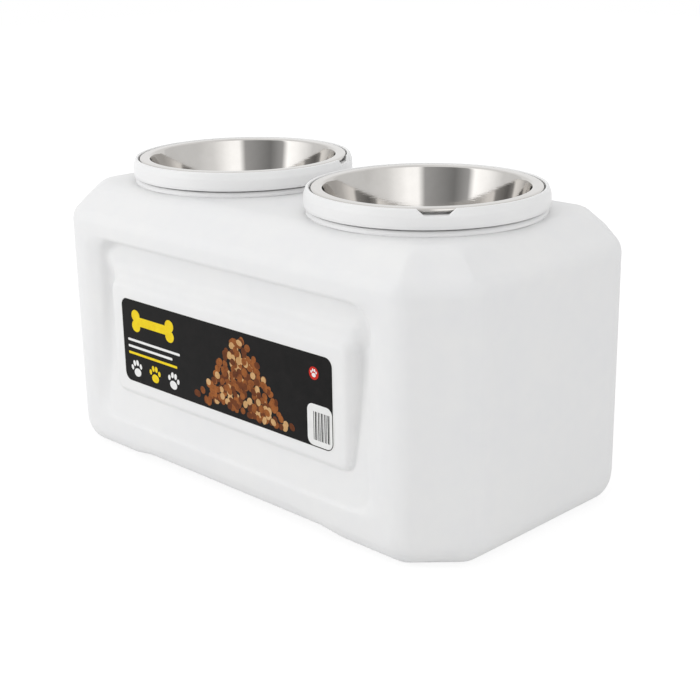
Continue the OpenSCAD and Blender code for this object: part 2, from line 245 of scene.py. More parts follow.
# %% Floor
FLOOR_HALF = 6
floor_paint, tree, skin, place = new_material("studio_floor")
for label, value in {"Base Color": (0.86, 0.86, 0.86, 1), "Roughness": 0.9, "Specular IOR Level": 0.1}.items():
    feed(tree, skin.inputs[label], value)
away = add(tree, "VectorMath", {0: place}, operation="LENGTH").outputs["Value"]
whiter = rescale(tree, away, {"From Min": 0.45, "From Max": 1.1, "To Min": 0.78, "To Max": 1.0},
                 interpolation_type="SMOOTHSTEP")
plain = add(tree, "Emission", {"Strength": 1.1})
pick = add(tree, "MixShader", {0: calculate(tree, "MULTIPLY", is_shown(tree), whiter),
                               1: skin.outputs[0], 2: plain.outputs[0]})
feed(tree, tree.nodes["Material Output"].inputs[0], pick.outputs[0])
square = [(FLOOR_HALF * x, FLOOR_HALF * y, 0) for x, y in ((-1, -1), (1, -1), (1, 1), (-1, 1))]
floor = put("floor", plain_mesh("floor", square, [(0, 1, 2, 3)], floor_paint))
print("the floor is", 2 * FLOOR_HALF, "m wide")

# %% [markdown]
# ## Finishes
# Even a new plastic moulding is never one flat colour. Its shade drifts a little from place to place, its
# gloss varies where the mould was polished or worn, and a fine grain catches the light. Each of those effects
# is a node group here, so that every material can use it with its own numbers.
#
# ### Mottle
# Mottle is the slow drift of colour over a moulded wall. Two layers of noise are enough: a wide one, as large
# as a hand, and a narrow one, as large as a fingertip. The group mixes two colours by them.

# %% Mottle group
NARROWER = 6.3  # how much finer the narrow noise is


def node_group(name, inputs, outputs):
    """An empty node group, with the sockets inside it."""
    group = bpy.data.node_groups.new(name, "ShaderNodeTree")
    for label, kind, value in inputs:
        socket = group.interface.new_socket(label, in_out="INPUT", socket_type="NodeSocket" + kind)
        if value is not None:
            socket.default_value = value
    for label, kind in outputs:
        group.interface.new_socket(label, in_out="OUTPUT", socket_type="NodeSocket" + kind)
    return group, group.nodes.new("NodeGroupInput").outputs, group.nodes.new("NodeGroupOutput").inputs


def noise(tree, place, scale, detail, **feeds):
    """The plain output of a Noise Texture node."""
    return add(tree, "TexNoise", {"Vector": place, "Scale": scale, "Detail": detail, **feeds}).outputs["Fac"]


mottle, given, made = node_group(
    "mottle",
    [("Place", "Vector", None), ("Size", "Float", 8.0), ("Pale", "Color", (1, 1, 1, 1)),
     ("Deep", "Color", (0.8, 0.8, 0.8, 1))],
    [("Color", "Color"), ("Mask", "Float")])
wide = noise(mottle, given["Place"], given["Size"], 3)
narrow = noise(mottle, given["Place"], calculate(mottle, "MULTIPLY", given["Size"], NARROWER), 2)
blend = add(mottle, "Mix", {"Factor": 0.35, "A": wide, "B": narrow}, data_type="FLOAT").outputs["Result"]
spread = rescale(mottle, blend, {"From Min": 0.34, "From Max": 0.66})
tint = add(mottle, "Mix", {"Factor": spread, COLOR_A: given["Deep"], COLOR_B: given["Pale"]}, data_type="RGBA")
feed(mottle, made["Color"], tint.outputs[COLOR_OUT])
feed(mottle, made["Mask"], spread)
print("mottle has", len(mottle.nodes), "nodes")

# %% [markdown]
# ### Mould grain
# Blow moulds are sand-blasted so that air can escape, which leaves a fine pebbled skin on the plastic. Steel
# tools for injection moulding are smoother. The group gives a height for a Bump node, with a wide, soft wave
# under the grain, because a thin wall is never quite flat.

# %% Mould grain group
grain, given, made = node_group(
    "mould_grain",
    [("Place", "Vector", None), ("Grain size", "Float", 1400.0), ("Grain", "Float", 0.3),
     ("Wave size", "Float", 14.0), ("Wave", "Float", 1.0)],
    [("Height", "Float")])
pebble = noise(grain, given["Place"], given["Grain size"], 3, Roughness=0.6)
wave = noise(grain, given["Place"], given["Wave size"], 1)
feed(grain, made["Height"], calculate(grain, "ADD", calculate(grain, "MULTIPLY", pebble, given["Grain"]),
                                      calculate(grain, "MULTIPLY", wave, given["Wave"])))
print("mould_grain has", len(grain.nodes), "nodes")

# %% [markdown]
# ### Rubbed edges
# Corners and rims are what hands and floors touch, so they turn a little glossier and lose a little of their
# whiteness. Cycles' pointiness tells how sharply a surface bends outward. The group turns it into a mask and
# breaks the mask up with noise, so that the wear doesn't run along every edge like a painted line.

# %% Rubbed edge group
rubbed, given, made = node_group(
    "rubbed_edges",
    [("Place", "Vector", None), ("From", "Float", 0.51), ("To", "Float", 0.56), ("Break size", "Float", 60.0)],
    [("Mask", "Float")])
bend = add(rubbed, "NewGeometry").outputs["Pointiness"]
reach = rescale(rubbed, bend, {"From Min": given["From"], "From Max": given["To"]})
patchy = noise(rubbed, given["Place"], given["Break size"], 4)
patches = rescale(rubbed, patchy, {"From Min": 0.42, "From Max": 0.6})
feed(rubbed, made["Mask"], calculate(rubbed, "MULTIPLY", reach, patches))
print("rubbed_edges has", len(rubbed.nodes), "nodes")

# %% [markdown]
# ### Plastic materials
# The bin is blown from polyethylene, which is milky, soft and matt. The lids and collars are injection
# moulded, so they are a little smoother. Both use the same three groups with different numbers.

# %% Plastic materials
PLASTIC_IOR = 1.51
WORN_TINT, WORN_SHARE, WEAR_SPAN, UNWORN = 0.93, 0.5, 0.06, 0.06


def set_bump(tree, skin, height, distance):
    """Lets a height bend the light, as if the surface had that relief."""
    relief = add(tree, "Bump", {"Distance": distance, "Height": height})
    feed(tree, skin.inputs["Normal"], relief.outputs["Normal"])


def plastic(name, pale, deep, smooth, rough, grain_numbers, bump, wear_from):
    material, tree, skin, place = new_material(name)
    shade = add(tree, "Group", {"Place": place, "Size": 9.0, "Pale": pale, "Deep": deep}, node_tree=mottle)
    wear = add(tree, "Group", {"Place": place, "From": wear_from, "To": wear_from + WEAR_SPAN},
               node_tree=rubbed)
    share = calculate(tree, "MULTIPLY", wear.outputs["Mask"], WORN_SHARE)
    worn = tuple(WORN_TINT * c for c in pale[:3]) + (1,)
    colour = add(tree, "Mix", {"Factor": share, COLOR_A: shade.outputs["Color"], COLOR_B: worn},
                 data_type="RGBA")
    feed(tree, skin.inputs["Base Color"], colour.outputs[COLOR_OUT])
    even = rescale(tree, shade.outputs["Mask"], {"To Min": smooth + UNWORN, "To Max": rough})
    gloss = add(tree, "Mix", {"Factor": wear.outputs["Mask"], "A": even, "B": smooth}, data_type="FLOAT")
    feed(tree, skin.inputs["Roughness"], gloss.outputs["Result"])
    feed(tree, skin.inputs["IOR"], PLASTIC_IOR)
    height = add(tree, "Group", {"Place": place, **grain_numbers}, node_tree=grain)
    set_bump(tree, skin, height.outputs["Height"], bump)
    return material


bin_plastic = plastic(
    "bin_plastic", pale=(0.83, 0.83, 0.825, 1), deep=(0.80, 0.803, 0.81, 1), smooth=0.38, rough=0.56,
    grain_numbers={"Grain size": 900.0, "Grain": 0.05, "Wave size": 11.0, "Wave": 1.0},
    bump=0.0012, wear_from=0.53)
lid_plastic = plastic(
    "lid_plastic", pale=(0.845, 0.845, 0.84, 1), deep=(0.825, 0.826, 0.83, 1), smooth=0.26, rough=0.38,
    grain_numbers={"Grain size": 1500.0, "Grain": 0.05, "Wave size": 20.0, "Wave": 0.6},
    bump=0.0004, wear_from=0.53)
print("plastics:", bin_plastic.name, lid_plastic.name)

# %% [markdown]
# ### Spun rings
# A bowl is spun: a disc of sheet steel turns while a roller presses it over a form. The tool leaves fine rings
# round the axis. The rings are a noise that depends only on the distance from the axis and on the height, and
# the bowl's own origin lies on its axis, which makes that easy.

# %% Spun rings group
SOFT_SCALE = 25
rings, given, made = node_group(
    "spun_rings", [("Place", "Vector", None), ("Fineness", "Float", 900.0)],
    [("Height", "Float"), ("Mask", "Float")])
split = add(rings, "SeparateXYZ", {0: given["Place"]}).outputs
squares = [calculate(rings, "MULTIPLY", split[axis], split[axis]) for axis in "XY"]
from_axis = calculate(rings, "SQRT", calculate(rings, "ADD", *squares))
ring_place = add(rings, "CombineXYZ", {"X": from_axis, "Z": split["Z"]}).outputs[0]
feed(rings, made["Height"], noise(rings, ring_place, given["Fineness"], 4))
feed(rings, made["Mask"], noise(rings, given["Place"], SOFT_SCALE, 3))
print("spun_rings has", len(rings.nodes), "nodes")

# %% [markdown]
# ### Steel
# The rings stretch every highlight across them. The Principled node does that with its Anisotropic input, and
# a Tangent node tells it which way the rings run. The steel is nearly a mirror, so its roughness is low.

# %% Steel material
steel, tree, skin, place = new_material("spun_steel")
spun = add(tree, "Group", {"Place": place, "Fineness": 700.0}, node_tree=rings)
shade = add(tree, "Group", {"Place": place, "Size": 14.0, "Pale": (0.63, 0.613, 0.592, 1),
                            "Deep": (0.58, 0.562, 0.54, 1)}, node_tree=mottle)
feed(tree, skin.inputs["Base Color"], shade.outputs["Color"])
feed(tree, skin.inputs["Metallic"], 1)
feed(tree, skin.inputs["Anisotropic"], 0.35)
feed(tree, skin.inputs["Anisotropic Rotation"], 0.25)
feed(tree, skin.inputs["Roughness"], rescale(tree, spun.outputs["Mask"], {"To Min": 0.045, "To Max": 0.075}))
feed(tree, skin.inputs["Tangent"], add(tree, "Tangent", direction_type="RADIAL", axis="Z").outputs[0])
set_bump(tree, skin, spun.outputs["Height"], 0.00002)
print("steel:", steel.name)

# %% [markdown]
# ### Seals and print
# The seals are pale silicone rubber, which is soft, quite dull and a little uneven. The label is a printed
# film, so its colours share one satin surface, and only the ink changes.

# %% Seal and print materials
def simple_finish(name, pale, deep, smooth, rough, size, bump=0.0001, grain_size=1200.0, shine=0.5):
    material, tree, skin, place = new_material(name)
    shade = add(tree, "Group", {"Place": place, "Size": size, "Pale": pale, "Deep": deep}, node_tree=mottle)
    feed(tree, skin.inputs["Base Color"], shade.outputs["Color"])
    gloss = rescale(tree, shade.outputs["Mask"], {"To Min": smooth, "To Max": rough})
    feed(tree, skin.inputs["Roughness"], gloss)
    height = add(tree, "Group", {"Place": place, "Grain size": grain_size, "Grain": 1.0, "Wave": 0.0},
                 node_tree=grain)
    set_bump(tree, skin, height.outputs["Height"], bump)
    feed(tree, skin.inputs["Specular IOR Level"], shine)
    return material


seal_rubber = simple_finish("seal_rubber", (0.8, 0.8, 0.79, 1), (0.74, 0.74, 0.73, 1), 0.5, 0.65, 60.0)
INKS = {
    "ink_black": ((0.012, 0.011, 0.011, 1), (0.006, 0.006, 0.006, 1)),
    "ink_yellow": ((0.88, 0.68, 0.02, 1), (0.8, 0.56, 0.01, 1)),
    "ink_tan": ((0.66, 0.42, 0.2, 1), (0.5, 0.28, 0.11, 1)),
    "ink_bark": ((0.17, 0.05, 0.015, 1), (0.09, 0.025, 0.008, 1)),
    "ink_brown": ((0.36, 0.12, 0.03, 1), (0.16, 0.045, 0.012, 1)),
    "ink_white": ((0.84, 0.84, 0.83, 1), (0.78, 0.78, 0.77, 1)),
    "ink_red": ((0.62, 0.03, 0.02, 1), (0.5, 0.02, 0.012, 1)),
}
inks = {name: simple_finish(name, *pair, smooth=0.38, rough=0.5, size=90.0, bump=0.00001,
                            grain_size=2500.0, shine=0.08) for name, pair in INKS.items()}
print("inks:", ", ".join(inks))

# %% [markdown]
# ## Shapes by distance
# A blow-moulded bin has no sharp edge anywhere, and its walls run into each other through curves of many sizes.
# Bevelling a boxy mesh gets stuck where several curves meet. A distance field doesn't: each wall is a simple
# distance, and two small functions join walls with a rounded edge or a filled corner of any radius.

# %% Rounded joints between distances
def rounded_and(a, b, radius):
    """Inside both a and b, with the edge between them rounded."""
    reach = np.hypot(np.maximum(a + radius, 0), np.maximum(b + radius, 0))
    return np.minimum(-radius, np.maximum(a, b)) + reach


def filled_or(a, b, radius):
    """Inside a or b, with the corner between them filled."""
    return -rounded_and(-a, -b, radius)


def tilted(a, b, rise, run):
    """A wall that leans: a grows by run while b grows by rise."""
    return (a * rise + b * run) / np.hypot(rise, run)


def ease(value, start, stop, low, high):
    """Goes from low to high while value goes from start to stop."""
    return low + (high - low) * np.clip((value - start) / (stop - start), 0, 1)


print("a square edge rounded by 10:", round(float(rounded_and(0.0, 0.0, 10.0)), 2), "mm further in")

# %% [markdown]
# ### The raised panel
# The label sits on a panel that rises from the recess. The panel's ends, its upper and its lower edge all lean.
# Above it a crown slopes back under the recess's upper edge. Sizes go from the middle of the bin outward, and
# depth is measured inward from the front.

# %% The panel as a distance field
PANEL_HALF, PANEL_LOW, PANEL_HIGH, PANEL_DEPTH, PANEL_SLOPE = 194.0, 86.5, 218.5, 1.0, 19.0
CROWN_LOW, CROWN_KNEE, CROWN_TOP, CROWN_DEPTH, CROWN_SLOPE = 150.0, 237.0, 257.0, 8.0, 12.0
PANEL_BACK = 40.0  # deep enough to end inside the wall of the recess


def panel_field(x, z, depth):
    raised = depth - PANEL_DEPTH
    ends = tilted(x - PANEL_HALF, -raised, PANEL_SLOPE, 4.0)
    upper = tilted(z - PANEL_HIGH, -raised, PANEL_SLOPE, 12.0)
    lower = tilted(PANEL_LOW - z, -raised, PANEL_SLOPE, 4.0)
    panel = rounded_and(ends, np.maximum(upper, lower), 10.0)
    panel = rounded_and(panel, -raised, 5.0)
    sunk = CROWN_DEPTH - depth
    flare = ease(z, 210, 238, 6, 26)
    crown = rounded_and(tilted(x - PANEL_HALF, sunk, CROWN_SLOPE, flare), z - CROWN_TOP, 16.0)
    crown = rounded_and(crown, tilted(z - CROWN_KNEE, sunk, CROWN_SLOPE, 20.0), 2.0)
    crown = np.maximum(rounded_and(crown, sunk, 2.5), CROWN_LOW - z)
    return np.maximum(filled_or(panel, crown, 4.0), depth - PANEL_BACK)


print("the panel is", 2 * PANEL_HALF, "mm long")

# %% [markdown]
# ### The whole bin
# The bin's field follows the drawing: upright walls with flats across the corners, a sloping shoulder, a flat
# top, a rounded bottom, and an arch between the feet. On the front and on the back a recess is cut in, which is
# shallow at its lower edge and deep at its upper edge. Many radii change with the height, because a blown wall
# stretches into each corner differently.

# %% The bin as a distance field
CORNER_CUT, SHOULDER_RUN, CREASE = 54.0, 36.0, 290.0
EDGE_RADIUS, BOTTOM_RADIUS, MOUTH_RADIUS = 8.0, 27.0, 25.0
ARCH_HALF, ARCH_RISE, ARCH_RUN = 180.0, 4.0, 14.0
RECESS_HALF, RECESS_LOW, RECESS_HIGH = 226.0, 46.0, 266.0


def recess_floor(z):
    """How deep the recess is at a height."""
    t = ease(z, RECESS_LOW, RECESS_HIGH, 0, 1)
    return 2.5 + 30.5 * t - 13 * t * t


def bin_field(p):
    x, y, z = np.abs(p[..., 0]), np.abs(p[..., 1]), p[..., 2]
    corner = (x + y - HALF_LENGTH - HALF_WIDTH + CORNER_CUT) / math.sqrt(2)
    bend = ease(z, 0, 34, 20, 9)
    side = rounded_and(x - HALF_LENGTH, corner, bend)
    side = rounded_and(side, y - HALF_WIDTH, bend)
    shoulder = tilted(side, z - CREASE, BIN_TOP - CREASE, SHOULDER_RUN)
    body = rounded_and(side, shoulder, EDGE_RADIUS)
    body = rounded_and(body, z - BIN_TOP, EDGE_RADIUS)
    arch = rounded_and(z - ARCH_RISE, tilted(z, x - ARCH_HALF, ARCH_RUN, ARCH_RISE), 3.0)
    body = rounded_and(body, rounded_and(-z, -arch, 2.0), BOTTOM_RADIUS)
    depth = HALF_WIDTH - y
    ends = tilted(x - RECESS_HALF, depth, 20.0, 12.0)
    upper = tilted(z - RECESS_HIGH, depth, 20.0, 5.0)
    lower = tilted(RECESS_LOW - z, depth, 20.0, 5.0)
    mouth = rounded_and(ends, np.maximum(upper, lower), MOUTH_RADIUS)
    recess = rounded_and(mouth, depth - recess_floor(z), ease(z, 60, 100, 2.5, 7))
    body = rounded_and(body, -recess, ease(z, 60, 100, 2, 4) + ease(x, 205, 230, 0, 12))
    return filled_or(body, panel_field(x, z, depth), ease(z, 212, 242, 1.8, 9.5))


print("depth of the recess at mid height:", round(float(recess_floor((RECESS_LOW + RECESS_HIGH) / 2)), 1), "mm")

# %% [markdown]
# ## From a field to a mesh
# A surface net turns a field into quads: space is cut into cells, each cell that the surface crosses gets one
# vertex, and each crossed cell edge gets one face. Afterwards every vertex slides along the field's slope until
# it lies on the surface.

# %% Surface net
SETTLE_ROUNDS, SLOPE_STEP, LEAST_SLOPE = 4, 0.05, 0.2


def slope(field, points):
    around = [field(points + d) - field(points - d) for d in np.eye(3) * SLOPE_STEP]
    return np.stack(around, -1) / (2 * SLOPE_STEP)


def settle(points, field, level):
    """Slides the points onto the surface where field equals level."""
    for _ in range(SETTLE_ROUNDS):
        way = slope(field, points)
        off = (field(points) - level) / np.maximum((way ** 2).sum(-1), LEAST_SLOPE)
        points = points - off[:, None] * way
    return points


def surface_net(field, axes, level):
    """Quads where field equals level, on the grid lines in axes. Faces look the way the field grows."""
    grid = np.stack(np.meshgrid(*axes, indexing="ij"), -1)
    value = field(grid) - level
    below = value < 0
    cells = tuple(n - 1 for n in value.shape)
    total, count = np.zeros(cells + (3,)), np.zeros(cells)
    crossings = []
    for axis in range(3):
        first, last = [slice(None)] * 3, [slice(None)] * 3
        first[axis], last[axis] = slice(None, -1), slice(1, None)
        first, last = tuple(first), tuple(last)
        cross = below[first] != below[last]
        share = np.where(cross, value[first] / np.where(cross, value[first] - value[last], 1), 0)
        point = grid[first] + share[..., None] * (grid[last] - grid[first])
        others = [a for a in range(3) if a != axis]
        for step in ((0, 0), (0, 1), (1, 0), (1, 1)):
            part = [slice(None)] * 3
            for other, s in zip(others, step):
                part[other] = slice(s, s + cells[other])
            part = tuple(part)
            total += np.where(cross[part][..., None], point[part], 0)
            count += cross[part]
        crossings.append((axis, others, cross, below[first]))
    used = count > 0
    number = np.full(cells, -1)
    number[used] = np.arange(used.sum())
    points = total[used] / count[used][:, None]
    faces = []
    for axis, others, cross, inside in crossings:
        at = np.argwhere(cross)
        keep = np.all([(at[:, o] > 0) & (at[:, o] < cells[o]) for o in others], axis=0)
        at = at[keep]
        corner = []
        for step in ((-1, -1), (0, -1), (0, 0), (-1, 0)):
            near = at.copy()
            near[:, others] += step
            corner.append(number[tuple(near.T)])
        quad = np.stack(corner, 1)
        turn_over = inside[tuple(at.T)] == (axis == 1)
        quad[turn_over] = quad[turn_over][:, ::-1]
        faces.append(quad)
    return settle(points, field, level), np.concatenate(faces)


print("each point slides", SETTLE_ROUNDS, "times")

# %% [markdown]
# ## The bin
# The outer skin is the field's zero level, and the inside of the wall is the level 4 mm below it, so the wall
# is equally thick everywhere, as blowing makes it. The grid's cells are small where the bin has detail and
# large on its plain walls. Each axis has a list of places, each with the size of the cells from there on.

# %% Outer and inner skin
WALL = 4.0
INNER_COARSER = 1.9  # nobody looks closely at the inside
ACROSS_X = [(0, 6), (150, 2.6), (246, 4), (262, 3.2), (322, 0)]
ACROSS_Y = [(0, 7), (105, 3.5), (140, 2.3), (176, 0)]
UP_Z = [(-3, 1.8), (11, 3.2), (40, 2.4), (62, 4), (78, 2.3), (96, 6), (208, 2.3), (238, 4), (256, 2.3),
        (275, 3), (326, 0)]


def grid_lines(stops, coarser):
    """Grid lines from (position, size of the cells from there on) pairs."""
    lines = []
    for (start, step), (end, _) in zip(stops, stops[1:]):
        count = max(1, round((end - start) / (step * coarser)))
        lines.extend(np.linspace(start, end, count, endpoint=False))
    return np.array(lines + [stops[-1][0]])


def mirrored(lines):
    return np.concatenate([-lines[:0:-1], lines])


def bin_skin(level, coarser=1):
    x, y, z = (grid_lines(stops, coarser) for stops in (ACROSS_X, ACROSS_Y, UP_Z))
    return surface_net(bin_field, (mirrored(x), mirrored(y), z), level)


outer_points, outer_faces = bin_skin(0)
inner_points, inner_faces = bin_skin(-WALL, INNER_COARSER)
print("outer skin:", len(outer_faces), "faces; inner skin:", len(inner_faces), "faces")

# %% [markdown]
# ### Joining the skins
# The two skins meet only at the rims of the two openings. The faces over each opening are dropped, the edge
# that is left is pulled onto a clean circle, and a band of faces bridges the two circles.

# %% Join the skins at the two openings
OPENING_RADIUS, TOP_DEPTH, RIM_REACH = 122.9, 12, 140


def open_skin(points, faces):
    """Drops the faces over the openings and pulls the edge that is left onto two clean circles."""
    middle = points[faces].mean(1)
    over = np.zeros(len(faces), bool)
    for x in OPENING_X.values():
        near_axis = np.hypot(middle[:, 0] - x, middle[:, 1]) < OPENING_RADIUS
        over |= near_axis & (middle[:, 2] > BIN_TOP - TOP_DEPTH)
    for i in np.intersect1d(faces[over], faces[~over]):
        x = min(OPENING_X.values(), key=lambda c: abs(points[i, 0] - c))
        away = points[i, :2] - (x, 0)
        points[i, :2] = np.array((x, 0)) + away * OPENING_RADIUS / np.hypot(*away)
    return faces[~over]


outer_faces = open_skin(outer_points, outer_faces)
inner_faces = open_skin(inner_points, inner_faces)[:, ::-1]
points = np.concatenate([outer_points, inner_points])
faces = np.concatenate([outer_faces, inner_faces + len(outer_points)])
used = np.unique(faces)
renumber = np.full(len(points), -1)
renumber[used] = np.arange(len(used))
bin_mesh = bpy.data.meshes.new("bin")
bin_mesh.from_pydata((points[used] * MM).tolist(), [], renumber[faces].tolist())
work = bmesh.new()
work.from_mesh(bin_mesh)
rims = [e for e in work.edges if e.is_boundary]
for x in OPENING_X.values():
    near = [e for e in rims if abs((e.verts[0].co.x + e.verts[1].co.x) / 2 / MM - x) < RIM_REACH]
    bmesh.ops.bridge_loops(work, edges=near)
print("open edges left:", sum(not e.is_manifold for e in work.edges))

# %% [markdown]
# ### A piece of the object
# Each finished mesh becomes a piece. It gets its material, rides on a body of the frame, and hides the part of
# the model that it replaces.

# %% The finished bin
def finish_mesh(work, mesh, smooth=True, sharp=None):
    """Turns all faces outward, shades them and writes them to the mesh. Edges sharper than sharp stay hard."""
    bmesh.ops.recalc_face_normals(work, faces=work.faces)
    for face in work.faces:
        face.smooth = smooth
    for edge in work.edges if sharp else ():
        edge.smooth = len(edge.link_faces) < 2 or edge.calc_face_angle(0) < sharp
    work.to_mesh(mesh)
    work.free()


def new_piece(name, mesh, material, body, slot, *nodes, at=(0, 0, 0)):
    """Puts a mesh in the scene as a piece of the object."""
    piece = put(name, mesh, at)
    mesh.materials.append(material)
    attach(piece, body)
    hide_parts(*nodes)
    return piece


finish_mesh(work, bin_mesh)
food_bin = new_piece("food_bin", bin_mesh, bin_plastic, "bin", "bin_plastic", "bin_body")
print(food_bin.name, "has", len(bin_mesh.polygons), "faces")

# %% [markdown]
# ## Round pieces
# Collars, lids and bowls are all turned shapes: one outline, swept round an axis. The outline is drawn with
# sharp corners and then each corner is rounded by its own radius, as the toolmaker's drawing would say it.

# %% Outline with rounded corners
FINEST, LARGEST_SWING = 3.0, 0.35  # the longest step along a round corner, in mm and in radians


def outline(corners):
    """corners is [(r, z, radius)]. Returns a closed list of points."""
    points = []
    count = len(corners)
    for i, (r, z, radius) in enumerate(corners):
        here = np.array((r, z), float)
        before = np.array(corners[i - 1][:2], float) - here
        after = np.array(corners[(i + 1) % count][:2], float) - here
        if radius <= 0:
            points.append(here)
            continue
        a, b = before / np.hypot(*before), after / np.hypot(*after)
        half = math.acos(np.clip(a @ b, -1, 1)) / 2
        reach = min(radius / math.tan(half), 0.49 * np.hypot(*before), 0.49 * np.hypot(*after))
        radius = reach * math.tan(half)
        centre = here + (a + b) / np.hypot(*(a + b)) * radius / math.sin(half)
        start, end = here + a * reach - centre, here + b * reach - centre
        swing = math.atan2(start[0] * end[1] - start[1] * end[0], start @ end)
        steps = max(2, math.ceil(abs(swing) / LARGEST_SWING), math.ceil(abs(swing) * radius / FINEST))
        for k in range(steps + 1):
            c, s = math.cos(swing * k / steps), math.sin(swing * k / steps)
            points.append(centre + (c * start[0] - s * start[1], s * start[0] + c * start[1]))
    return np.array(points)


def cut_long(points, longest, where):
    """Splits the outline's long runs, so that a bend has points to work on."""
    made = []
    for a, b in zip(points, np.roll(points, -1, 0)):
        made.append(a)
        pieces = math.ceil(np.hypot(*(b - a)) / longest) if where(*((a + b) / 2)) else 1
        made.extend(a + (b - a) * k / pieces for k in range(1, pieces))
    return np.array(made)


print("a rounded square has", len(outline([(0, 0, 3), (10, 0, 3), (10, 10, 3), (0, 10, 3)])), "points")

# %% [markdown]
# ### Sweep
# The sweep repeats the outline at each angle round the axis and joins neighbours with faces. It can bend the
# outline as it goes round, which is how a lid gets its screw thread and its notch. An outline that begins and
# ends on the axis closes there with a fan of triangles.

# %% Sweep round the axis
ON_AXIS, SHARP_EDGE = 1e-6, math.radians(38)


def even_turn(count):
    return np.linspace(0, 2 * math.pi, count, endpoint=False)


def sweep(name, points, angles, bend=None):
    """A turned mesh. bend moves the points of the outline, depending on the angle."""
    on_axis = points[0, 0] < ON_AXIS
    turned = points[1:-1] if on_axis else points
    r = np.repeat(turned[None, :, 0], len(angles), 0)
    z = np.repeat(turned[None, :, 1], len(angles), 0)
    angle = np.repeat(angles[:, None], len(turned), 1)
    if bend:
        r, z = bend(r, z, angle)
    places = np.stack([r * np.cos(angle), r * np.sin(angle), z], -1).reshape(-1, 3)
    count, width = len(angles), len(turned)
    index = np.arange(count * width).reshape(count, width)
    following = np.roll(index, -1, 0)
    span = width - 1 if on_axis else width
    faces = [(index[i, j], following[i, j], following[i, (j + 1) % width], index[i, (j + 1) % width])
             for i in range(count) for j in range(span)]
    if on_axis:
        places = np.concatenate([places, [(0, 0, points[0, 1]), (0, 0, points[-1, 1])]])
        first, last = len(places) - 2, len(places) - 1
        faces += [(first, following[i, 0], index[i, 0]) for i in range(count)]
        faces += [(last, index[i, width - 1], following[i, width - 1]) for i in range(count)]
    mesh = bpy.data.meshes.new(name)
    mesh.from_pydata((places * MM).tolist(), [], [tuple(int(i) for i in f) for f in faces])
    work = bmesh.new()
    work.from_mesh(mesh)
    finish_mesh(work, mesh, sharp=SHARP_EDGE)
    print(name, "has", len(mesh.polygons), "faces")
    return mesh


print("an edge stays sharp from", round(math.degrees(SHARP_EDGE)), "degrees up")

# %% [markdown]
# ## Screw thread
# The lid winds into the collar on a thread with four starts. Each start climbs 24 mm in one turn, so a ridge
# passes every 6 mm of height. The engineering model has a plain band there, and the ridges stay inside it.

# %% Thread ridges
THREAD_LEAD, THREAD_STARTS = 24.0, 4
FADE_RUN = 2.5


def ridge(z, angle, low, high):
    """How far a thread ridge stands out, from 0 to 1, fading at both ends of its band."""
    pitch = THREAD_LEAD / THREAD_STARTS
    phase = np.mod(z - THREAD_LEAD * angle / (2 * math.pi), pitch) / pitch
    shape = np.clip((0.5 - np.abs(phase - 0.5)) * 5 - 0.75, 0, 1)
    fade = np.clip((z - low) / FADE_RUN, 0, 1) * np.clip((high - z) / FADE_RUN, 0, 1)
    return shape * shape * (3 - 2 * shape) * fade


print("the ridges are", THREAD_LEAD / THREAD_STARTS, "mm apart")

# %% [markdown]
# ## Collars
# A collar snaps into the opening and stays there. From outside only its flange shows, as a thin white band
# under the lid. With the lid off, its thread can be seen inside the mouth of the bin.

# %% Collars
COLLAR_BORE, THREAD_HEIGHT, THREAD_LOW, THREAD_HIGH = 120.4, 1.2, 302, 324
TURN_STEPS = 256
collar_outline = cut_long(outline([
    (119.2, 300.0, 0.8), (122.5, 300.0, 0.8), (122.5, 314.3, 0.5), (124.8, 317.7, 0.4), (122.5, 317.7, 0.2),
    (122.5, 322.0, 0.2), (124.0, 322.0, 0.2), (124.0, 324.1, 0.2), (127.0, 324.1, 0.2), (127.0, 322.0, 0.2),
    (128.5, 322.0, 0.4), (128.5, 324.6, 6.0), (126.6, 327.6, 1.0), (119.2, 327.6, 1.0)]),
    0.6, lambda r, z: r < 119.5 and THREAD_LOW < z < THREAD_HIGH)


def collar_thread(r, z, angle):
    inside = (r < 119.5) & (z > THREAD_LOW - 1) & (z < THREAD_HIGH + 1)
    return np.where(inside, COLLAR_BORE - THREAD_HEIGHT * ridge(z, angle, THREAD_LOW, THREAD_HIGH), r), z


def paint_seal(name):
    """Gives a seal of the engineering model its material. Its shape stays."""
    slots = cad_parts[name].data.materials
    slots.clear()
    slots.append(seal_rubber)


for side, x in OPENING_X.items():
    name = side + "_collar_ring"
    mesh = sweep(name, collar_outline, even_turn(TURN_STEPS), collar_thread)
    new_piece(name, mesh, lid_plastic, "bin", "lid_plastic", side + "_collar", at=(x * MM, 0, 0))
    paint_seal(side + "_collar_seal")

# %% [markdown]
# ## Lid outline
# The lid is a closed cup with a wide ring round its top, and the bowl's rolled rim drops into the channel
# between them. The outline starts in the middle of the cup's floor, climbs the inside, goes over the channel
# and the ring, and comes back under the ring and down the outside.

